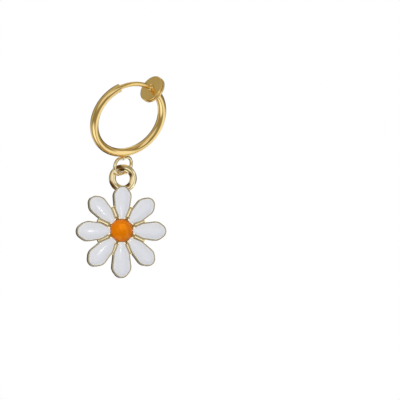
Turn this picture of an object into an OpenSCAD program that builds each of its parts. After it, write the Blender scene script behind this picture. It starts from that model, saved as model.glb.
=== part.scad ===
// Clip-on hoop earring with an enamelled daisy pendant, in millimetres.
// The origin is the point where the two clip discs meet, +Z is up, and the daisy faces -Y.

/* [Hoop] */
// Outer diameter of the hoop
hoop_outer_d = 15; // [13:0.5:20]
// Outer diameter of the hoop's tube
tube_d = 1.5; // [1.4:0.1:1.8]
// Thickness of the tube's wall
tube_wall = 0.27; // [0.25:0.01:0.3]
// Place of the tube's open mouth, in degrees round the hoop from its right-hand side
mouth_at = 118; // [110:1:130]
// Place of the clip discs, in degrees round the hoop
clip_at = 58; // [50:1:65]
// How far the hoop's face turns to the right as it hangs, in degrees
hoop_turn = 30; // [20:1:40]
// How far the hoop's top leans to the front as it hangs, in degrees
hoop_lean = 25.5; // [15:0.5:35]

/* [Clip discs] */
// Diameter of each clip disc
disc_d = 5; // [4:0.1:6]
// Thickness of each clip disc
disc_t = 0.46; // [0.4:0.02:0.7]
// Air between the closed discs
clip_gap = 0.06; // [0.04:0.01:0.2]
// Diameter of the solder bead that holds a disc on the wire
bead_d = 1.35; // [1.2:0.05:1.8]
// Width of the solder fillet round the tube at its own disc
fillet_w = 0.14; // [0.1:0.01:0.3]

/* [Spring arm] */
// Air between the wire and the tube's bore, on each side
wire_clear = 0.08; // [0.05:0.01:0.1]
// Length of wire inside the closed tube, in degrees round the hoop
wire_inside = 62; // [50:1:90]
// Bore left beyond the wire's end for the spring, in degrees round the hoop
spring_room = 60; // [45:1:70]
// Depth of the chamfer in the tube's mouth
mouth_chamfer = 0.08; // [0.04:0.01:0.1]

/* [Bottom loop] */
// Diameter of the loop's wire
loop_wire_d = 0.6; // [0.5:0.02:0.6]
// Inner height of the oval loop
loop_inner_h = 2.24; // [2.2:0.02:3]
// Length of the loop's straight sides
loop_straight = 2; // [1.6:0.1:2.6]
// Place of the loop, in degrees round the hoop
loop_at = 275; // [270:1:278]
// How far the loop bends out of the hoop's plane, in degrees
loop_lean = 15; // [10:1:20]
// How far the loop is twisted about its own upright, in degrees
loop_twist = 25; // [20:1:35]
// Depth to which the loop is soldered into the tube
loop_sink = 0.04; // [0.04:0.01:0.15]
// Diameter of the drop of solder between tube and loop
solder_d = 0.85; // [0.75:0.05:1]

/* [Daisy] */
// Distance from the daisy's centre to a common petal's tip
petal_reach = 8.1; // [7.9:0.1:9.5]
// Width of a common petal, rims included
petal_w = 3.45; // [3:0.05:3.8]
// Width of the gold rim round each petal
rim_w = 0.22; // [0.15:0.01:0.3]
// Thickness of the gold frame
frame_t = 1.7; // [1.4:0.1:2.4]
// Depth of the enamel cells
cell_depth = 0.55; // [0.4:0.05:0.7]
// Radius out to which gold fills the notches between petals
web_r = 4.6; // [4:0.1:5]
// Depth of that gold below the rims
web_step = 0.14; // [0.1:0.02:0.3]
// How far the daisy's face turns to the right as it hangs, in degrees
daisy_turn = 9; // [0:1:9]
// How far the daisy's foot swings to the front as it hangs, in degrees
daisy_pitch = 2; // [0:0.5:4]

/* [Enamel] */
// Diameter of the orange dome
dome_d = 4; // [3.6:0.1:4.4]
// Height of the dome above its gold seat
dome_h = 1.25; // [0.8:0.05:1.6]
// Rise of a petal's enamel above its rim
crown = 0.16; // [0.05:0.01:0.3]
// Air round each piece of enamel
enamel_gap = 0.02; // [0.01:0.005:0.04]

/* [Pendant ring] */
// Diameter of the hole in the daisy's ring
ring_hole_d = 2.5; // [2.3:0.1:3]
// Width of the ring's band, seen from the front
ring_band_w = 1.28; // [1:0.02:1.4]
// Depth of the ring's band, front to back
ring_band_t = 0.9; // [0.8:0.05:1]
// Radius of the ring's inner and outer edges
ring_edge_r = 0.3; // [0.2:0.02:0.36]
// Direction of the ring from the daisy's centre, in degrees
ring_at = 87.7; // [86:0.1:94]
// Gold between the top petal's tip and the ring's hole
ring_lip = 0.1; // [0.06:0.02:0.3]
// Air between the ring and the wire that it hangs on
hang_gap = 0.06; // [0.04:0.01:0.1]

/* [Hidden] */
$fn = 96;
petal_names = [for (k = [0 : 7]) str("enamel_petal_", k + 1)];

gold = [0.86, 0.70, 0.38];
white_enamel = [0.93, 0.92, 0.95];
orange_enamel = [0.94, 0.50, 0.08];

// Columns: turn from even spacing in degrees, share of the reach, share of the width
petal_table = [
    [-1, 1.000, 1.01],
    [-1, 0.980, 0.97],
    [-2, 0.988, 0.94],
    [-2, 0.995, 0.96],
    [1, 1.000, 1.06],
    [2, 1.030, 1.03],
    [0, 1.050, 1.01],
    [-2, 1.020, 0.97],
];
petal_count = len(petal_table);
top_petal = 2;
// Radii of the four circles that a petal's outline wraps, as shares of the petal's width, from base to tip
circle_shares = [0.24, 0.43, 0.5, 0.385];
// How far the widest circle lies behind the tip's circle, as a share of the petal's width
wide_back = 0.19;
// Place of the second circle, as a share of the way from the first to the widest
second_at = 0.45;

// How far a petal's straight sides lie inside the circles that they join, so that they cut them cleanly
flank_inset = 0.003;
// Overlap by which a cut runs past the surface that it opens
overrun = 0.05;
overrun_angle = 1;

hoop_r = (hoop_outer_d - tube_d) / 2;
bore_d = tube_d - 2 * tube_wall;
wire_d = bore_d - 2 * wire_clear;
disc_mid = (clip_gap + disc_t) / 2;
disc_angle = asin(disc_mid / hoop_r);
clip_point = hoop_r * [cos(clip_at), sin(clip_at), 0];

loop_r = (loop_inner_h + loop_wire_d) / 2;
loop_drop = tube_d / 2 + loop_wire_d / 2 - loop_sink + loop_r;

cell_floor = frame_t - cell_depth;
dome_r = dome_d / 2;
seat_w = 0.15;
seat_top = frame_t - web_step;
seat_depth = 0.3;
seat_floor = seat_top - seat_depth;
cell_overrun = 0.03;
dome_ball_r = (dome_r * dome_r + dome_h * dome_h) / (2 * dome_h);

// Points on each circle of an enamel petal's outline, and the rings that its top is drawn with
arc_steps = 4;
top_shares = [1, 0.92, 0.78, 0.55, 0.28];
// The enamel's edge lies this far below the rim, and its rise flattens with this power towards the middle
edge_drop = 0.06;
top_power = 2.4;

ring_r = (ring_hole_d + ring_band_w) / 2;
ring_dist = petal_reach * petal_table[top_petal][1] + ring_lip + ring_hole_d / 2;
ring_centre = [ring_dist * cos(ring_at), ring_dist * sin(ring_at), frame_t / 2];
// How far the ring's centre hangs in front of the loop's wire
ring_forward = 0.2;

function turn_x(p, a) = [p[0], p[1] * cos(a) - p[2] * sin(a), p[1] * sin(a) + p[2] * cos(a)];
function turn_y(p, a) = [p[0] * cos(a) + p[2] * sin(a), p[1], p[2] * cos(a) - p[0] * sin(a)];
function turn_z(p, a) = [p[0] * cos(a) - p[1] * sin(a), p[0] * sin(a) + p[1] * cos(a), p[2]];

// A point of the loop's own frame (x down its upright, y along its straight sides) in the hoop's frame
function loop_to_hoop(p) =
    turn_z(turn_y(turn_x(p, -loop_twist), -loop_lean) + [hoop_r, 0, 0], loop_at);
// A point of the hoop's own frame (x and y in its plane) in the earring's frame
function hoop_to_world(p) = turn_z(turn_x(p - clip_point, 90 + hoop_lean), hoop_turn);

hang_point = hoop_to_world(loop_to_hoop([loop_drop + loop_r, 0, 0]));
ring_world = hang_point + [0, -ring_forward, loop_wire_d / 2 + hang_gap - ring_hole_d / 2];

module in_hoop() {
    rotate([90 + hoop_lean, 0, hoop_turn])
        translate(-clip_point)
            children();
}

module in_loop() {
    rotate([0, 0, loop_at])
        translate([hoop_r, 0, 0])
            rotate([0, -loop_lean, 0])
                rotate([-loop_twist, 0, 0])
                    children();
}

// Puts what is drawn along +Z on the hoop's centre line at an angle, pointing on round the hoop
module along_hoop(angle) {
    rotate([0, 0, angle])
        translate([hoop_r, 0, 0])
            rotate([-90, 0, 0])
                children();
}

module in_pendant() {
    translate(ring_world)
        rotate([90 - daisy_pitch, 0, daisy_turn])
            translate(-ring_centre)
                children();
}

module arc_bar(d, from, to) {
    rotate([0, 0, from])
        rotate_extrude(angle = to - from)
            translate([hoop_r, 0])
                circle(d = d);
}

// A clip disc with a rounded rim, centred on its own mid plane
module clip_disc() {
    rotate_extrude() {
        translate([0, -disc_t / 2])
            square([disc_d / 2 - disc_t / 2, disc_t]);
        translate([disc_d / 2 - disc_t / 2, 0])
            circle(d = disc_t);
    }
}

module oval_loop() {
    for (side = [-1, 1]) {
        translate([0, side * loop_straight / 2, 0])
            rotate([0, 0, side > 0 ? 0 : 180])
                rotate_extrude(angle = 180)
                    translate([loop_r, 0])
                        circle(d = loop_wire_d);
        translate([side * loop_r, loop_straight / 2, 0])
            rotate([90, 0, 0])
                cylinder(d = loop_wire_d, h = loop_straight);
    }
}

// Cuts the chamfer: as wide as the chamfer asks at the tube's end, and running on past both of its edges
module mouth_cone() {
    widest = bore_d + 4 * mouth_chamfer;
    narrowest = bore_d - 2 * mouth_chamfer;
    cylinder(d1 = widest, d2 = narrowest, h = (widest - narrowest) / 2);
}

module hoop() {
    color(gold)
        in_hoop()
            difference() {
                union() {
                    arc_bar(tube_d, mouth_at, 360 + clip_at - disc_angle);
                    along_hoop(clip_at)
                        translate([0, 0, -disc_mid])
                            clip_disc();
                    along_hoop(clip_at)
                        translate([0, 0, -disc_mid - disc_t / 2 - fillet_w])
                            cylinder(d = tube_d + 2 * fillet_w, h = fillet_w + disc_t / 2);
                    in_loop() {
                        translate([loop_drop, 0, 0])
                            oval_loop();
                        // The drop's poles lie inside the wire
                        translate([loop_drop - loop_r, 0, 0])
                            rotate([90, 0, 0])
                                sphere(d = solder_d);
                    }
                }
                arc_bar(bore_d, mouth_at - overrun_angle, mouth_at + wire_inside + spring_room);
                along_hoop(mouth_at)
                    translate([0, 0, -mouth_chamfer])
                        mouth_cone();
            }
}

// The half of a solder bead that shows on the outer face of the arm's disc
module solder_bead() {
    rotate_extrude()
        intersection() {
            translate([0, disc_t / 2])
                circle(d = bead_d);
            square(bead_d);
        }
}

module spring_arm() {
    color(gold)
        in_hoop() {
            arc_bar(wire_d, clip_at + disc_angle, mouth_at + wire_inside);
            along_hoop(clip_at)
                translate([0, 0, disc_mid])
                    clip_disc();
            along_hoop(clip_at)
                translate([0, 0, disc_mid])
                    solder_bead();
        }
}

// The straight sides between two circles on the X axis, just inside the lines that touch both
module flanks(x1, r1, x2, r2) {
    a = acos((r1 - r2) / (x2 - x1));
    reach1 = r1 - flank_inset;
    reach2 = r2 - flank_inset;
    polygon([
        [x1 + reach1 * cos(a), reach1 * sin(a)],
        [x1 + reach1 * cos(a), -reach1 * sin(a)],
        [x2 + reach2 * cos(a), -reach2 * sin(a)],
        [x2 + reach2 * cos(a), reach2 * sin(a)],
    ]);
}

// The four circles that a petal's outline wraps, from base to tip: place along +X and radius
function petal_circles(row) =
    let (reach = petal_reach * row[1])
    let (w = petal_w * row[2], r = circle_shares * w)
    let (base_x = dome_r + seat_w + r[0] - rim_w - cell_overrun)
    let (tip_x = reach - r[3], wide_x = tip_x - wide_back * w)
    [
        [base_x, r[0]],
        [base_x + second_at * (wide_x - base_x), r[1]],
        [wide_x, r[2]],
        [tip_x, r[3]],
    ];

// Direction of the flank that touches circles j and j + 1, from the outline's own +X
function flank_angle(c, j) = acos((c[j][1] - c[j + 1][1]) / (c[j + 1][0] - c[j][0]));

// A petal's outline along +X, drawn in by an inset
module petal_outline(row, inset) {
    c = petal_circles(row);
    for (spot = c)
        translate([spot[0], 0])
            circle(r = spot[1] - inset);
    for (j = [0 : len(c) - 2])
        flanks(c[j][0], c[j][1] - inset, c[j + 1][0], c[j + 1][1] - inset);
}

module at_petal(k) {
    rotate([0, 0, 360 * k / petal_count + petal_table[k][0]])
        children();
}

// The ring's section: two bowed faces that run into small round edges
module band_section() {
    end_x = ring_band_w / 2 - ring_edge_r;
    half_t = ring_band_t / 2;
    bow_r = (end_x * end_x + half_t * half_t - ring_edge_r * ring_edge_r) / (2 * (half_t - ring_edge_r));
    bow_y = bow_r - half_t;
    meet = end_x * bow_r / (bow_r - ring_edge_r);
    for (side = [-1, 1])
        translate([side * end_x, 0])
            circle(r = ring_edge_r);
    intersection() {
        translate([0, bow_y])
            circle(r = bow_r);
        translate([0, -bow_y])
            circle(r = bow_r);
        translate([-meet, -half_t])
            square([2 * meet, ring_band_t]);
    }
}

module pendant_ring() {
    translate(ring_centre)
        rotate_extrude()
            translate([ring_r, 0])
                band_section();
}

module daisy_frame() {
    color(gold)
        in_pendant()
            difference() {
                union() {
                    for (k = [0 : petal_count - 1])
                        at_petal(k)
                            linear_extrude(frame_t)
                                petal_outline(petal_table[k], 0);
                    cylinder(r = web_r, h = seat_top);
                    pendant_ring();
                }
                for (k = [0 : petal_count - 1])
                    at_petal(k)
                        translate([0, 0, cell_floor])
                            linear_extrude(cell_depth + overrun)
                                petal_outline(petal_table[k], rim_w);
                translate([0, 0, seat_floor])
                    cylinder(r = dome_r + enamel_gap, h = seat_depth + overrun);
                translate([0, 0, seat_top])
                    cylinder(r = dome_r + seat_w, h = web_step + overrun);
            }
}

// One side of the outline from base to tip: the circle and the direction of each point
function outline_steps(c) =
    let (turns = concat([180], [for (j = [0 : len(c) - 2]) flank_angle(c, j)], [0]))
    [
        for (j = [0 : len(c) - 1])
            for (i = [0 : arc_steps])
                [j, turns[j] + (turns[j + 1] - turns[j]) * i / arc_steps]
    ];

// A point of the enamel: share is 1 at the edge and 0 on the petal's spine
function enamel_point(c, step, share, side) =
    let (x = c[step[0]][0], r = c[step[0]][1] - rim_w - enamel_gap)
    [x + share * r * cos(step[1]), side * share * r * sin(step[1])];

// Height of the enamel's top at a share of the way out from the spine, lower where the petal is narrow
function enamel_top(c, step, share) =
    let (rise = crown * sqrt(c[step[0]][1] / c[2][1]))
    frame_t - edge_drop + (rise + edge_drop) * (1 - pow(share, top_power));

module enamel_petal(k) {
    c = petal_circles(petal_table[k]);
    steps = outline_steps(c);
    n = len(steps);
    around = 2 * n - 2;
    order = concat([for (i = [0 : n - 1]) [i, 1]], [for (i = [n - 2 : -1 : 1]) [i, -1]]);
    foot = [for (o = order) concat(enamel_point(c, steps[o[0]], 1, o[1]), cell_floor + enamel_gap)];
    rings = [
        for (share = top_shares)
            for (o = order)
                concat(enamel_point(c, steps[o[0]], share, o[1]), enamel_top(c, steps[o[0]], share))
    ];
    last = len(top_shares) * around;
    walls = [
        for (ring = [0 : len(top_shares) - 1])
            for (i = [0 : around - 1])
                let (a = ring * around, j = (i + 1) % around)
                [a + i, a + j, a + around + j, a + around + i]
    ];
    strips = [
        for (i = [1 : n - 3])
            [last + i, last + i + 1, last + around - i - 1, last + around - i]
    ];
    ends = [
        [last, last + 1, last + around - 1],
        [last + n - 2, last + n - 1, last + n],
    ];
    color(white_enamel)
        in_pendant()
            at_petal(k)
                polyhedron(
                    points = concat(foot, rings),
                    faces = concat([[for (i = [around - 1 : -1 : 0]) i]], walls, strips, ends)
                );
}

module enamel_centre() {
    color(orange_enamel)
        in_pendant()
            union() {
                translate([0, 0, seat_floor + enamel_gap])
                    cylinder(r = dome_r, h = seat_depth);
                intersection() {
                    translate([0, 0, seat_top + enamel_gap])
                        cylinder(r = dome_r, h = dome_h);
                    translate([0, 0, seat_top + enamel_gap + dome_h - dome_ball_r])
                        sphere(r = dome_ball_r);
                }
            }
}

hoop();
spring_arm();
daisy_frame();
enamel_centre();
for (k = [0 : petal_count - 1])
    enamel_petal(k);
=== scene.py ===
import math

import bmesh
import bpy
from mathutils import Matrix, Vector


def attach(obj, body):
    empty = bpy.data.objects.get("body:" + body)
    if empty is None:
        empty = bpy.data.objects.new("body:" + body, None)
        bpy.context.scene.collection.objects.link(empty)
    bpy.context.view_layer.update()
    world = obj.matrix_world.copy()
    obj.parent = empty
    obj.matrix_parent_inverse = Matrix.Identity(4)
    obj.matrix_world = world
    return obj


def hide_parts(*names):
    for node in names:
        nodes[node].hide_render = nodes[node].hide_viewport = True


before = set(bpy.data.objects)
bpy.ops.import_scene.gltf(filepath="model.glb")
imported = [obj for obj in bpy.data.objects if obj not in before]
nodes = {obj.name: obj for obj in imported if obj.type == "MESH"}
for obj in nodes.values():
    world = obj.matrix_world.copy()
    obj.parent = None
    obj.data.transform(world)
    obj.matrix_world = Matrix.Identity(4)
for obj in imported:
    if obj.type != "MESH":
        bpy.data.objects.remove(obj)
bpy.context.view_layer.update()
MM = 0.001

# Sizes of the part, in millimetres and degrees
HOOP_R, TUBE_D = 6.75, 1.5
CLIP_AT, HOOP_TURN, HOOP_LEAN = 58, 30, 25.5
LOOP_AT, LOOP_LEAN, LOOP_TWIST = 275, 15, 25
LOOP_WIRE_D, LOOP_INNER_H, LOOP_SINK = 0.6, 2.24, 0.04
PETAL_REACH, PETAL_W, RIM_W, FRAME_T = 8.1, 3.45, 0.22, 1.7
CELL_DEPTH, WEB_STEP, SEAT_W, SEAT_DEPTH, CELL_OVERRUN = 0.55, 0.14, 0.15, 0.3, 0.03
DAISY_TURN, DAISY_PITCH = 9, 2
DOME_R, DOME_H, CROWN, ENAMEL_GAP = 2.0, 1.25, 0.16, 0.02
RING_HOLE_D, RING_AT, RING_LIP, HANG_GAP, RING_FORWARD = 2.5, 87.7, 0.1, 0.06, 0.2
# Turn from even spacing in degrees, share of the reach, share of the width
PETALS = [
    (-1, 1.000, 1.01), (-1, 0.980, 0.97), (-2, 0.988, 0.94), (-2, 0.995, 0.96),
    (1, 1.000, 1.06), (2, 1.030, 1.03), (0, 1.050, 1.01), (-2, 1.020, 0.97),
]
PETAL_STEP = 360 / len(PETALS)
CIRCLE_SHARES, WIDE_BACK, SECOND_AT = (0.24, 0.43, 0.5, 0.385), 0.19, 0.45
SEAT_TOP = FRAME_T - WEB_STEP

# Relief that the scene adds on the solids: the enamel's edge and crown, its foot towards the dome,
# the round tops of the rims, the cushions of the webs
EDGE_DROP, CROWN_FALL, CROWN_ROUND, CROWN_BACK, CROWN_FRONT = 0.06, 0.75, 2.4, 0.4, 1.9
WET_RISE, WET_SHARE, LIP_RISE = 0.035, 0.012, 0.035
FOOT_FROM, FOOT_PULL, FOOT_RISE, DOME_CLEAR = math.radians(120), 0.8, 0.04, 0.03
BEAD_R, BEAD_RISE, BEAD_SUNK, BEAD_FOOT_SUNK = 0.115, 0.1, 0.06, 0.25
WEB_FROM, WEB_TO, WEB_RISE, WEB_OVERLAP, WEB_SUNK, WEB_BED = 2.45, 4.52, 0.11, 0.02, 0.004, 0.03
# Shares of the way out from the spine at which the enamel's top has a ring of points
SHARES = [1.0, 0.992, 0.975, 0.95, 0.91, 0.86, 0.8, 0.72, 0.62, 0.5, 0.36, 0.18]
# The collar's section: out from the dome's edge, up from the seat's edge
COLLAR_SECTION = [(0.03, -0.03), (0.03, 0.015), (0.3, 0.03), (0.42, 0.03), (0.46, -0.03)]

# Rounded edges of the solids
WELD_GAP, SHARP_FROM = 0.002 * MM, math.radians(32)


def turn(angle, axis):
    return Matrix.Rotation(math.radians(angle), 4, axis)


def shift(x, y, z):
    return Matrix.Translation((x, y, z))


def on_circle(radius, angle):
    return radius * math.cos(angle), radius * math.sin(angle)


# The hoop's, the loop's and the pendant's own frames, as the part's source sets them
clip_x, clip_y = on_circle(HOOP_R, math.radians(CLIP_AT))
in_hoop = turn(HOOP_TURN, "Z") @ turn(90 + HOOP_LEAN, "X") @ shift(-clip_x, -clip_y, 0)
loop_turn = turn(-LOOP_LEAN, "Y") @ turn(-LOOP_TWIST, "X")
in_loop = in_hoop @ turn(LOOP_AT, "Z") @ shift(HOOP_R, 0, 0) @ loop_turn
loop_r = (LOOP_INNER_H + LOOP_WIRE_D) / 2
loop_drop = TUBE_D / 2 + LOOP_WIRE_D / 2 - LOOP_SINK + loop_r
hang_point = in_loop @ Vector((loop_drop + loop_r, 0, 0))
ring_dist = PETAL_REACH * PETALS[2][1] + RING_LIP + RING_HOLE_D / 2
ring_centre = Vector((*on_circle(ring_dist, math.radians(RING_AT)), FRAME_T / 2))
ring_world = hang_point + Vector((0, -RING_FORWARD, LOOP_WIRE_D / 2 + HANG_GAP - RING_HOLE_D / 2))
daisy_turn = turn(DAISY_TURN, "Z") @ turn(90 - DAISY_PITCH, "X")
in_pendant = shift(*ring_world) @ daisy_turn @ shift(*(-ring_centre))


# Materials
def new_material(name):
    m = bpy.data.materials.new(name)
    m.use_nodes = True
    nt = m.node_tree
    return m, nt, nt.nodes["Principled BSDF"]


def noise(nt, scale, detail=4.0, rough=0.55):
    tex = nt.nodes.new("ShaderNodeTexNoise")
    tex.inputs["Scale"].default_value = scale
    tex.inputs["Detail"].default_value = detail
    tex.inputs["Roughness"].default_value = rough
    nt.links.new(nt.nodes.new("ShaderNodeTexCoord").outputs["Object"], tex.inputs["Vector"])
    return tex.outputs["Fac"]


def remap(nt, value, low, high, from_low=0.3, from_high=0.7):
    node = nt.nodes.new("ShaderNodeMapRange")
    node.inputs["From Min"].default_value = from_low
    node.inputs["From Max"].default_value = from_high
    node.inputs["To Min"].default_value = low
    node.inputs["To Max"].default_value = high
    nt.links.new(value, node.inputs["Value"])
    return node.outputs["Result"]


def ramp(nt, value, stops):
    node = nt.nodes.new("ShaderNodeValToRGB")
    points = node.color_ramp.elements
    points[0].position, points[0].color = stops[0][0], (*stops[0][1], 1)
    points[1].position, points[1].color = stops[-1][0], (*stops[-1][1], 1)
    for place, colour in stops[1:-1]:
        points.new(place).color = (*colour, 1)
    nt.links.new(value, node.inputs["Fac"])
    return node.outputs["Color"]


def bump(nt, shader, heights):
    last = None
    for value, strength, depth in heights:
        node = nt.nodes.new("ShaderNodeBump")
        node.inputs["Strength"].default_value = strength
        node.inputs["Distance"].default_value = depth
        nt.links.new(value, node.inputs["Height"])
        if last:
            nt.links.new(last, node.inputs["Normal"])
        last = node.outputs["Normal"]
    nt.links.new(last, shader.inputs["Normal"])


def colour_mix(nt, kind, factor, under, over):
    mix = nt.nodes.new("ShaderNodeMix")
    mix.data_type, mix.blend_type = "RGBA", kind
    sockets = [i for i in mix.inputs if i.type == "RGBA"]
    for socket, value in ((mix.inputs[0], factor), (sockets[0], under), (sockets[1], over)):
        if isinstance(value, (float, tuple)):
            socket.default_value = value
        else:
            nt.links.new(value, socket)
    return [o for o in mix.outputs if o.type == "RGBA"][0]


# Colour of the painted dark spots (painted shade and dark reflections), and the share of their radius that
# is fully dark
SHADE_BROWN, SPOT_CORE = (0.17, 0.07, 0.008, 1), 0.45


def painted_dark_spots(nt, colour, spots):
    """Painted shade and dark reflections: dark brown spots at fixed places of the piece: (x, y, z) and
    radius in millimetres, and strength.
    """
    where = nt.nodes.new("ShaderNodeTexCoord").outputs["Object"]
    for place, radius, strength in spots:
        gap = nt.nodes.new("ShaderNodeVectorMath")
        gap.operation = "DISTANCE"
        gap.inputs[1].default_value = [v * MM for v in place]
        nt.links.new(where, gap.inputs[0])
        factor = remap(nt, gap.outputs["Value"], strength, 0, radius * SPOT_CORE * MM, radius * MM)
        colour = colour_mix(nt, "MIX", factor, colour, SHADE_BROWN)
    return colour


def painted_light_below(nt, colour, height, paler, fade=0.3 * MM):
    """Painted light: a paler colour for all that lies below a height of the part."""
    split = nt.nodes.new("ShaderNodeSeparateXYZ")
    nt.links.new(nt.nodes.new("ShaderNodeTexCoord").outputs["Object"], split.inputs["Vector"])
    low = remap(nt, split.outputs["Z"], 1, 0, height - fade, height)
    return colour_mix(nt, "MIX", low, colour, (*paler, 1))


def gold(name, pale, deep, rough, wave, wave_scale=260, shaded=False, below=None, spots=()):
    """Polished gold: patchy colour and gloss, a slow wave of the surface and a fine grain."""
    m, nt, p = new_material(name)
    p.inputs["Metallic"].default_value = 1.0
    colour = ramp(nt, noise(nt, 420, 5, 0.6), [(0.3, deep), (0.7, pale)])
    # Painted shade from the pieces' shade colours, painted light below a height, and painted dark spots,
    # where given
    if shaded:
        shade = nt.nodes.new("ShaderNodeVertexColor")
        shade.layer_name = "shade"
        colour = colour_mix(nt, "MULTIPLY", 1.0, colour, shade.outputs["Color"])
    if below:
        colour = painted_light_below(nt, colour, *below)
    nt.links.new(painted_dark_spots(nt, colour, spots), p.inputs["Base Color"])
    nt.links.new(remap(nt, noise(nt, 900, 6, 0.65), *rough), p.inputs["Roughness"])
    bump(nt, p, [(noise(nt, wave_scale, 2), wave, 0.08 * MM), (noise(nt, 2600, 4, 0.6), 0.1, 0.01 * MM)])
    return m


def enamel(name, light, dark, rough, wave, ior=1.5, gloss=(1, 1, 1)):
    """Glassy enamel: a little patchy in colour and gloss, with a slow wave of the surface."""
    m, nt, p = new_material(name)
    colour = ramp(nt, noise(nt, 330, 5, 0.6), [(0.28, dark), (0.72, light)])
    nt.links.new(colour, p.inputs["Base Color"])
    nt.links.new(remap(nt, noise(nt, 1500, 5, 0.6), rough * 0.8, rough * 1.3), p.inputs["Roughness"])
    p.inputs["IOR"].default_value = ior
    p.inputs["Specular Tint"].default_value = (*gloss, 1)
    bump(nt, p, [(noise(nt, 380, 2), wave, 0.1 * MM)])
    return m


# Painted shade and dark reflections on the ring, where it crosses the loop and round its band
RING_SHADE_SPOTS = [
    ((-7.5, 3.35, -16.7), 0.66, 0.97), ((-7.2, 3.3, -17.2), 0.72, 0.97), ((-6.9, 3.3, -17.7), 0.6, 0.95),
    ((-7.6, 3.4, -14.7), 0.45, 0.6), ((-6.1, 3.4, -13.85), 0.78, 0.95), ((-5.45, 3.3, -14.3), 0.72, 0.95),
    ((-4.05, 3.35, -15.25), 0.7, 0.97), ((-4.45, 3.35, -16.95), 0.66, 0.92),
]
LOOP_TOP = -12 * MM
# Below the loop's top the hoop's gold is painted paler: painted light
gold_hoop = gold("gold_hoop", (0.95, 0.65, 0.225), (0.90, 0.59, 0.185), (0.07, 0.12), 0.05,
                 below=(LOOP_TOP, (1.0, 0.80, 0.42)))
gold_wire = gold("gold_wire", (0.94, 0.63, 0.20), (0.87, 0.56, 0.15), (0.16, 0.26), 0.06)
gold_cast = gold("gold_cast", (1.0, 0.79, 0.40), (0.97, 0.73, 0.33), (0.05, 0.10), 0.8, 560,
                 spots=RING_SHADE_SPOTS)
gold_web = gold("gold_web", (1.0, 0.80, 0.40), (0.96, 0.74, 0.34), (0.08, 0.16), 0.3, 560, shaded=True)
# The rims' darker gold is painted shade
gold_rim_painted_shade = gold("gold_rim_painted_shade", (0.55, 0.45, 0.30), (0.40, 0.325, 0.20), (0.16, 0.28), 0.3, 560)
# The collar's darker gold is painted shade
gold_collar_painted_shade = gold("gold_collar_painted_shade", (0.50, 0.33, 0.11), (0.36, 0.22, 0.06), (0.22, 0.34), 0.3, 560)
white_enamel = enamel("white_enamel", (0.92, 0.893, 0.83), (0.89, 0.863, 0.805), 0.12, 0.10)
orange_enamel = enamel("orange_enamel", (0.95, 0.235, 0.002), (0.90, 0.21, 0.001), 0.05, 0.06,
                       ior=1.8, gloss=(1.0, 0.4, 0.025))


# The three metal solids: their material and the width of their rounded edges
def edges_by_angle():
    """Modifier nodes that keep an edge sharp only where the surface really turns."""
    group = bpy.data.node_groups.new("edges_by_angle", "GeometryNodeTree")
    group.interface.new_socket("Geometry", in_out="INPUT", socket_type="NodeSocketGeometry")
    group.interface.new_socket("Geometry", in_out="OUTPUT", socket_type="NodeSocketGeometry")
    come, leave = group.nodes.new("NodeGroupInput"), group.nodes.new("NodeGroupOutput")
    strip = group.nodes.new("GeometryNodeRemoveAttribute")
    strip.inputs["Name"].default_value = "custom_normal"
    bend = group.nodes.new("GeometryNodeInputMeshEdgeAngle")
    over = group.nodes.new("FunctionNodeCompare")
    over.operation = "GREATER_THAN"
    over.inputs[1].default_value = SHARP_FROM
    shade = group.nodes.new("GeometryNodeSetShadeSmooth")
    shade.domain = "EDGE"
    shade.inputs["Shade Smooth"].default_value = False
    group.links.new(bend.outputs["Unsigned Angle"], over.inputs[0])
    group.links.new(over.outputs["Result"], shade.inputs["Selection"])
    group.links.new(come.outputs[0], strip.inputs[0])
    group.links.new(strip.outputs[0], shade.inputs["Geometry"])
    group.links.new(shade.outputs["Geometry"], leave.inputs[0])
    return group


sharp_edges = edges_by_angle()


def dress(name, material, edge_width):
    """Gives a solid its material and rounds its edges; its own mesh stays as it is."""
    o = nodes[name]
    o.data.materials.clear()
    o.data.materials.append(material)
    weld = o.modifiers.new("weld", "WELD")
    weld.merge_threshold = WELD_GAP
    o.modifiers.new("sharp", "NODES").node_group = sharp_edges
    bevel = o.modifiers.new("edges", "BEVEL")
    bevel.width, bevel.segments = edge_width * MM, 2
    bevel.limit_method, bevel.angle_limit = "ANGLE", SHARP_FROM


dress("daisy_frame", gold_cast, 0.085)
dress("hoop", gold_hoop, 0.04)
dress("spring_arm", gold_wire, 0.03)


# Pieces of the pendant
def add_mesh(name, verts, faces, matrix, material, weld=False):
    mesh = bpy.data.meshes.new(name)
    mesh.from_pydata([(matrix @ Vector(v)) * MM for v in verts], [], faces)
    bm = bmesh.new()
    bm.from_mesh(mesh)
    if weld:
        bmesh.ops.remove_doubles(bm, verts=bm.verts, dist=0.0001 * MM)
    bmesh.ops.recalc_face_normals(bm, faces=bm.faces)
    bm.to_mesh(mesh)
    bm.free()
    for f in mesh.polygons:
        f.use_smooth = True
    mesh.materials.append(material)
    o = bpy.data.objects.new(name, mesh)
    bpy.context.scene.collection.objects.link(o)
    return o


def petal_circles(k):
    """The four circles of a petal from base to tip, as (place on the spine, radius)."""
    _, reach_share, width_share = PETALS[k]
    w = PETAL_W * width_share
    r = [s * w for s in CIRCLE_SHARES]
    base_x = DOME_R + SEAT_W + r[0] - RIM_W - CELL_OVERRUN
    tip_x = PETAL_REACH * reach_share - r[3]
    wide_x = tip_x - WIDE_BACK * w
    return [(base_x, r[0]), (base_x + SECOND_AT * (wide_x - base_x), r[1]), (wide_x, r[2]), (tip_x, r[3])]


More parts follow.
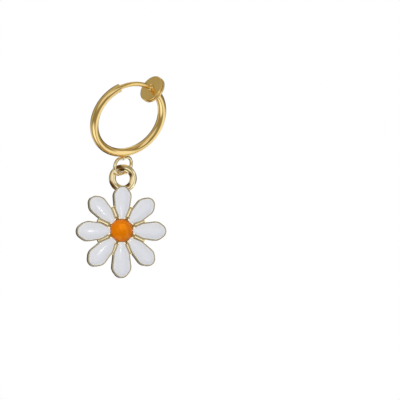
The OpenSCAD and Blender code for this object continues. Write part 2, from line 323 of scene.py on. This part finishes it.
def outline_steps(circles, arc=14, flank=5):
    """One side of a petal from base to tip: place on the spine, radius and direction of each point."""
    flanks = [math.acos((a[1] - b[1]) / (b[0] - a[0])) for a, b in zip(circles, circles[1:])]
    turns = [math.pi, *flanks, 0.0]
    steps = []
    for j, (x, r) in enumerate(circles):
        steps += [(x, r, turns[j] + (turns[j + 1] - turns[j]) * i / arc) for i in range(arc + 1)]
        if j + 1 < len(circles):
            dx, dr = circles[j + 1][0] - x, circles[j + 1][1] - r
            steps += [(x + dx * i / flank, r + dr * i / flank, turns[j + 1]) for i in range(1, flank)]
    return steps


def both_sides(steps):
    """The closed outline: out along one side of the petal and back along the other."""
    last = len(steps) - 1
    return [(i, 1) for i in range(last + 1)] + [(i, -1) for i in range(last - 1, 0, -1)]


def petal_angle(k):
    return PETAL_STEP * k + PETALS[k][0]


def foot_share(angle):
    """Rises from 0 to 1 round the end of a petal that faces the dome."""
    return math.sqrt(max(0.0, (angle - FOOT_FROM) / (math.pi - FOOT_FROM)))


def enamel_height(share, step, circles):
    """The enamel wets its rim, rounds over and rises to a soft crown where the petal is widest."""
    x, wide_x = step[0], circles[2][0]
    back = wide_x - circles[0][0] + CROWN_BACK
    far = (x - wide_x) / (back if x < wide_x else CROWN_FRONT)
    rise = EDGE_DROP + CROWN * (1 - CROWN_FALL * far ** 2)
    wet = WET_RISE * math.exp(-(1 - share) / WET_SHARE)
    return FRAME_T - EDGE_DROP + rise * (1 - share ** CROWN_ROUND) + wet


def enamel_petal(k):
    circles = petal_circles(k)
    steps = outline_steps(circles)
    outline = both_sides(steps)
    around = len(outline)
    floor, lip = FRAME_T - CELL_DEPTH + ENAMEL_GAP, SEAT_TOP + LIP_RISE

    def point(step, share, side, drawn=FOOT_PULL):
        """A point of the outline; drawn pulls the petal's foot over the low wall towards the dome."""
        x, r, a = step
        dx, dy = on_circle(share * (r - RIM_W - ENAMEL_GAP / 2), a)
        x, y = x + dx, side * dy
        stay = 1 - drawn * share * foot_share(a) * (1 - (DOME_R + DOME_CLEAR) / math.hypot(x, y))
        return x * stay, y * stay

    def height(step, share):
        return enamel_height(share, step, circles) + FOOT_RISE * foot_share(step[2]) * share ** 4

    verts = [(*point(steps[i], 1.0, s, drawn=0.0), floor) for i, s in outline]
    verts += [(*point(steps[i], 1.0, s, drawn=0.0), lip) for i, s in outline]
    verts += [(*point(steps[i], 1.0, s), lip) for i, s in outline]
    for share in SHARES:
        verts += [(*point(steps[i], share, s), height(steps[i], share)) for i, s in outline]
    spine = len(verts)
    verts += [(step[0], 0.0, enamel_height(0.0, step, circles)) for step in steps]

    faces = [tuple(range(around - 1, -1, -1))]
    rings = len(SHARES) + 2
    for ring in range(rings):
        a, b = ring * around, (ring + 1) * around
        for i in range(around):
            j = (i + 1) % around
            faces.append((a + i, a + j, b + j, b + i))
    last = rings * around
    for j, (i, _) in enumerate(outline):
        after = (j + 1) % around
        nxt = outline[after][0]
        if steps[i][0] == steps[nxt][0]:
            faces.append((last + j, last + after, spine + i))
        else:
            faces.append((last + j, last + after, spine + nxt, spine + i))

    place = in_pendant @ turn(petal_angle(k), "Z")
    o = add_mesh("white_petal_%d" % (k + 1), verts, faces, place, white_enamel, weld=True)
    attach(o, "pendant")
    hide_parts("enamel_petal_%d" % (k + 1))
    return o


def rim_bead(k, cuts=8):
    """A petal's rim, rounded over: it stands on the frame's flat rim. Its darker gold is painted shade."""
    steps = outline_steps(petal_circles(k))
    outline = both_sides(steps)
    verts = []
    for i, s in outline:
        x, r, a = steps[i]
        middle = FRAME_T - BEAD_SUNK - BEAD_FOOT_SUNK * foot_share(a)
        for j in range(cuts):
            t = 2 * math.pi * j / cuts
            dx, dy = on_circle(r - RIM_W / 2 + BEAD_R * math.cos(t), a)
            verts.append((x + dx, s * dy, middle + BEAD_RISE * math.sin(t)))
    around = len(outline)
    faces = []
    for i in range(around):
        a, b = i * cuts, (i + 1) % around * cuts
        faces += [(a + j, a + (j + 1) % cuts, b + (j + 1) % cuts, b + j) for j in range(cuts)]
    o = add_mesh("rim_%d" % (k + 1), verts, faces, in_pendant @ turn(petal_angle(k), "Z"), gold_rim_painted_shade)
    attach(o, "pendant")


petals = []
for k in range(len(PETALS)):
    petals.append(enamel_petal(k))
    rim_bead(k)


def lathe(name, profile, matrix, material, around=96):
    """Turns (radius, height) pairs about Z; the profile starts and ends on the axis."""
    verts, faces = [(0, 0, profile[0][1])], []
    for r, z in profile[1:-1]:
        verts += [(*on_circle(r, 2 * math.pi * i / around), z) for i in range(around)]
    verts.append((0, 0, profile[-1][1]))
    rings = len(profile) - 2
    for i in range(around):
        j = (i + 1) % around
        faces.append((0, 1 + j, 1 + i))
        for ring in range(rings - 1):
            a, b = 1 + ring * around, 1 + (ring + 1) * around
            faces.append((a + i, a + j, b + j, b + i))
        a = 1 + (rings - 1) * around
        faces.append((a + i, a + j, len(verts) - 1))
    return add_mesh(name, verts, faces, matrix, material)


def orange_dome(cuts=24):
    ball_r = (DOME_R ** 2 + DOME_H ** 2) / (2 * DOME_H)
    bottom, foot = SEAT_TOP - SEAT_DEPTH + ENAMEL_GAP, SEAT_TOP + ENAMEL_GAP
    profile = [(0, bottom), (DOME_R, bottom), (DOME_R, foot - EDGE_DROP), (DOME_R, foot)]
    edge_angle = math.asin(DOME_R / ball_r)
    for i in range(1, cuts):
        a = edge_angle * (1 - i / cuts)
        profile.append((ball_r * math.sin(a), foot + DOME_H - ball_r + ball_r * math.cos(a)))
    profile.append((0, foot + DOME_H))
    o = lathe("orange_dome", profile, in_pendant, orange_enamel)
    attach(o, "pendant")
    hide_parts("enamel_centre")
    return o


def collar(around=96):
    """Darker gold in the groove between the dome and the petals: painted shade."""
    verts = [(*on_circle(DOME_R + out, 2 * math.pi * i / around), SEAT_TOP + up)
             for i in range(around) for out, up in COLLAR_SECTION]
    n = len(COLLAR_SECTION)
    faces = []
    for i in range(around):
        a, b = i * n, (i + 1) % around * n
        faces += [(a + j, a + (j + 1) % n, b + (j + 1) % n, b + j) for j in range(n)]
    o = add_mesh("collar", verts, faces, in_pendant, gold_collar_painted_shade)
    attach(o, "pendant")


dome = orange_dome()
collar()


# The cast gold between the petals, rounded over from wall to wall
def notch_wall(k, side, gap):
    """The side of petal k that faces the gap, as (along, across) in the gap's own frame."""
    lean = math.radians(petal_angle(k)) - gap
    points = []
    for x, r, a in outline_steps(petal_circles(k)):
        px, py = x + r * math.cos(a), side * r * math.sin(a)
        along = px * math.cos(lean) - py * math.sin(lean)
        points.append((along, abs(px * math.sin(lean) + py * math.cos(lean))))
    return points


def across(points, u):
    """How far a wall stands from the gap's middle line at u along it."""
    near = [(abs(a - u), v) for a, v in points]
    near.sort()
    (d1, v1), (d2, v2) = near[0], near[1]
    return v1 if d1 + d2 < 1e-9 else (v1 * d2 + v2 * d1) / (d1 + d2)


def web_shade(along_at, edge):
    """Painted shade: the gold darkens and warms towards the dome and towards the walls."""
    near = min(1.0, along_at / 3)
    level = (0.3 + 0.7 * near) * (1 - 0.75 * edge ** 3)
    return level, level ** 1.35, level ** 2.0, 1


def web_cushion(k, along=26, cuts=12, fade_in=2.5, fade_out=4):
    nxt = (k + 1) % len(PETALS)
    gap = math.radians(PETAL_STEP * k + (PETAL_STEP + PETALS[k][0] + PETALS[nxt][0]) / 2)
    left, right = notch_wall(k, 1, gap), notch_wall(nxt, -1, gap)
    verts, faces = [], []
    for i in range(along + 1):
        u = WEB_FROM + (WEB_TO - WEB_FROM) * i / along
        low, high = -across(left, u) - WEB_OVERLAP, across(right, u) + WEB_OVERLAP
        ends = min(1.0, i / fade_in, (along - i) / fade_out)
        height = WEB_RISE * math.sin(ends * math.pi / 2)
        for j in range(cuts + 1):
            swell = 1 - abs(2 * j / cuts - 1) ** 4
            verts.append((u, low + (high - low) * j / cuts, SEAT_TOP - WEB_SUNK + height * swell))
    row = cuts + 1
    top = len(verts)
    verts += [(x, y, SEAT_TOP - WEB_BED) for x, y, _ in verts]
    for i in range(along):
        for j in range(cuts):
            a = i * row + j
            faces.append((a, a + row, a + row + 1, a + 1))
            faces.append((top + a, top + a + 1, top + a + row + 1, top + a + row))
    border = list(range(row)) + [i * row + cuts for i in range(1, along + 1)]
    border += [along * row + j for j in range(cuts - 1, -1, -1)]
    border += [i * row for i in range(along - 1, 0, -1)]
    for a, b in zip(border, border[1:] + border[:1]):
        faces.append((a, b, top + b, top + a))
    o = add_mesh("web_%d" % (k + 1), verts, faces, in_pendant @ Matrix.Rotation(gap, 4, "Z"), gold_web)
    shade = o.data.color_attributes.new("shade", "FLOAT_COLOR", "POINT")
    for i, item in enumerate(shade.data):
        along_at, across_at = divmod(i % top, row)
        item.color = web_shade(along_at, abs(2 * across_at / cuts - 1))
    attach(o, "pendant")


for k in range(len(PETALS)):
    web_cushion(k)


# Floor, in millimetres
FLOOR_AT, FLOOR_R, FLOOR_T, FLOOR_EDGE = (-5, 3, -62), 100, 1, 0.5
FLOOR_DARK, FLOOR_PALE = (0.86, 0.86, 0.86), (0.9, 0.9, 0.9)


def pale_floor():
    m, nt, p = new_material("pale_floor")
    nt.links.new(ramp(nt, noise(nt, 60), [(0.3, FLOOR_DARK), (0.7, FLOOR_PALE)]), p.inputs["Base Color"])
    p.inputs["Roughness"].default_value = 0.8
    return m


disc = [(0, -FLOOR_T), (FLOOR_R - FLOOR_EDGE, -FLOOR_T), (FLOOR_R, -FLOOR_EDGE),
        (FLOOR_R - FLOOR_EDGE, 0), (0, 0)]
floor = lathe("floor", disc, shift(*FLOOR_AT), pale_floor(), 192)
floor.visible_glossy = floor.visible_diffuse = False

# Light from all round: a dim studio, with soft round patches laid over each other in this order.
# Each has the direction of its middle, the angles from it where it starts to fade and where it ends,
# and its level. X points to the right, Y away from the camera, Z up.
DIM = 0.31
PATCHES = [
    # Above, and the dark low behind
    ((0, 0, 1), 25, 60, 0.55), ((0, 0.55, -0.83), 12, 32, 0.23),
    # Bright wall on the right, with a dark middle and a dim top
    ((1, 0, 0), 42, 50, 1.07), ((0.98, 0.15, 0), 16, 34, 0.31), ((0.55, 0, 0.85), 21, 37, 0.39),
    # Bright below, from left to right
    ((-0.45, -0.36, -0.82), 6, 22, 1.1), ((-0.12, -0.36, -0.93), 10, 23, 1.28),
    ((0.6, -0.22, -0.77), 8, 20, 0.98),
    # Soft on the left
    ((-0.96, 0.28, 0), 15, 40, 0.55), ((-0.75, 0.25, 0.6), 20, 45, 0.45),
    # Bright in front
    ((-0.31, -0.93, 0.22), 4, 38, 0.88), ((0.32, -0.95, 0.04), 7, 15, 1.1),
    # Dark behind, with bright panels in it
    ((0, 1, 0), 45, 72, 0.09), ((0, 0.62, 0.78), 8, 24, 0.98), ((-0.66, 0.62, -0.42), 10, 26, 0.88),
    ((0, 1, 0), 3, 8, 0.91), ((0.5, 0.65, -0.55), 14, 34, 1.04),
]
# The brighter the patch, the cooler its light
TINTS = [(0.38, (1, 0.99, 0.9)), (0.6, (1, 1.05, 1.2)), (0.75, (1.0, 1.08, 1.38)), (1, (0.98, 1.1, 1.45))]


def patch(nt, direction, axis, inner, outer):
    dot = nt.nodes.new("ShaderNodeVectorMath")
    dot.operation = "DOT_PRODUCT"
    dot.inputs[1].default_value = Vector(axis).normalized()
    nt.links.new(direction, dot.inputs[0])
    node = nt.nodes.new("ShaderNodeMapRange")
    node.interpolation_type = "SMOOTHSTEP"
    node.inputs["From Min"].default_value = math.cos(math.radians(outer))
    node.inputs["From Max"].default_value = math.cos(math.radians(inner))
    nt.links.new(dot.outputs["Value"], node.inputs["Value"])
    return node.outputs["Result"]


def blend(nt, under, factor, over):
    node = nt.nodes.new("ShaderNodeMix")
    nt.links.new(factor, node.inputs["Factor"])
    if isinstance(under, float):
        node.inputs["A"].default_value = under
    else:
        nt.links.new(under, node.inputs["A"])
    node.inputs["B"].default_value = over
    return node.outputs["Result"]


def light_all_round():
    world = bpy.data.worlds.new("studio")
    bpy.context.scene.world = world
    world.use_nodes = True
    nt = world.node_tree
    nt.nodes.clear()
    direction = nt.nodes.new("ShaderNodeTexCoord").outputs["Generated"]
    level = DIM
    for axis, inner, outer, bright in PATCHES:
        level = blend(nt, level, patch(nt, direction, axis, inner, outer), bright)
    studio = nt.nodes.new("ShaderNodeBackground")
    nt.links.new(level, studio.inputs["Strength"])
    nt.links.new(ramp(nt, level, TINTS), studio.inputs["Color"])
    # The camera itself sees plain white paper behind the part
    paper = nt.nodes.new("ShaderNodeBackground")
    paper.inputs["Color"].default_value = (1, 1, 1, 1)
    seen = nt.nodes.new("ShaderNodeLightPath")
    pick = nt.nodes.new("ShaderNodeMixShader")
    out = nt.nodes.new("ShaderNodeOutputWorld")
    nt.links.new(seen.outputs["Is Camera Ray"], pick.inputs["Fac"])
    nt.links.new(studio.outputs["Background"], pick.inputs[1])
    nt.links.new(paper.outputs["Background"], pick.inputs[2])
    nt.links.new(pick.outputs["Shader"], out.inputs["Surface"])


light_all_round()


# Lamps, in metres and watts
def panel(name, place, aim, width, height, power):
    light = bpy.data.lights.new(name, "AREA")
    light.shape = "RECTANGLE"
    light.size, light.size_y = width, height
    light.energy = power
    o = bpy.data.objects.new(name, light)
    o.location = place
    o.rotation_mode = "QUATERNION"
    o.rotation_quaternion = (Vector(aim) - Vector(place)).to_track_quat("-Z", "Y")
    bpy.context.scene.collection.objects.link(o)
    return o


def light_only(lamp, group, objects):
    lit = bpy.data.collections.new(group)
    for o in objects:
        lit.objects.link(o)
    lamp.light_linking.receiver_collection = lit


def glint(name, spot, toward, distance, size, power, group, objects):
    """A small reflector that shows only in the gloss of some pieces."""
    lamp = panel(name, spot + distance * toward, spot, *size, power)
    lamp.visible_diffuse = False
    light_only(lamp, group, objects)


key = panel("key", (-0.16, -0.40, 0.24), (-0.0055, 0.0, -0.020), 0.22, 0.22, 0.81)
key.visible_glossy = False

floor_x, floor_y, floor_z = (v * MM for v in FLOOR_AT)
wash = panel("floor_wash", (floor_x, 0.0, 0.3), (floor_x, floor_y, floor_z), 0.2, 0.2, 1.6)
wash.visible_glossy = False
light_only(wash, "floor_only", [floor])

# The petals' faces mirror their lamp into the lens; the dome's two lamps stand in front and above
face = (in_pendant.to_3x3() @ Vector((0, 0, 1))).normalized()
to_lens = Vector((0, -1, 0))
mirrored = 2 * face.dot(to_lens) * face - to_lens
petals_at = in_pendant @ Vector((-5.8, 0, FRAME_T + CROWN)) * MM
dome_at = in_pendant @ Vector((0, 0, SEAT_TOP + DOME_H)) * MM
glint("petal_glint", petals_at, mirrored, 0.045, (0.003, 0.003), 0.0004, "glazed_white", petals)
glint("dome_glint", dome_at, Vector((0.64, -0.735, -0.225)), 0.1, (0.012, 0.012), 0.018,
      "glazed_orange", [dome])
glint("dome_box", dome_at, Vector((0.3, -0.72, 0.63)), 0.3, (0.36, 0.3), 0.59,
      "glazed_orange_top", [dome])

# Camera: level, square to the picture, with the photograph's frame
CAMERA_AT, LENS, SENSOR_W = (0.008478, -1.2, -0.019757), 605.2, 36
camera = bpy.data.objects.new("camera", bpy.data.cameras.new("camera"))
camera.data.sensor_width, camera.data.lens = SENSOR_W, LENS
camera.data.clip_start, camera.data.clip_end = 0.05, 20
camera.location = CAMERA_AT
camera.rotation_euler = (math.pi / 2, 0, 0)
bpy.context.scene.collection.objects.link(camera)
bpy.context.scene.camera = camera
bpy.context.scene.view_settings.view_transform = "Standard"
